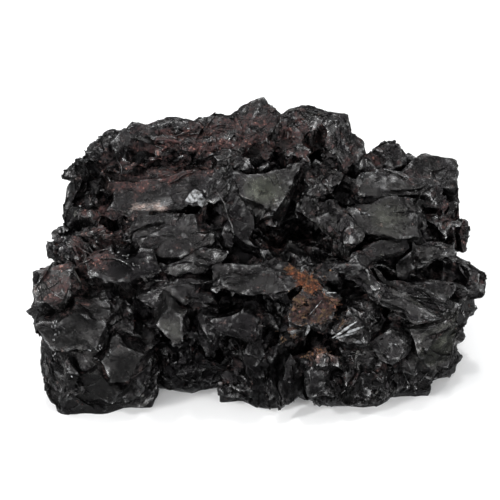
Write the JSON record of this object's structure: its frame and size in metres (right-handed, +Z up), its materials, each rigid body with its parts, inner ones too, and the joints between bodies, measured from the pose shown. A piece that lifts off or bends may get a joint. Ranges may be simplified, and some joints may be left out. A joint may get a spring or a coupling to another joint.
{
  "type": "specular hematite specimen",
  "caption": "Hand-sized lump of specular hematite: black metallic plates grown through one another, with open hollows and rust-red dust, resting on flats under it.",
  "frame": {"origin": "under the middle of the bounding box, on the surface that it rests on", "axes": "+X along the lump's length, +Y towards its back, +Z up; the front that is seen best faces -Y"},
  "size_m": [0.1096, 0.0626, 0.061],
  "materials": {
    "hematite": "near-black metallic crystal faces, dull red-brown dust in the hollows, a rust-orange crust in one pocket"
  },
  "bodies": {
    "root": {"hematite": "hematite"}
  },
  "joints": []
}
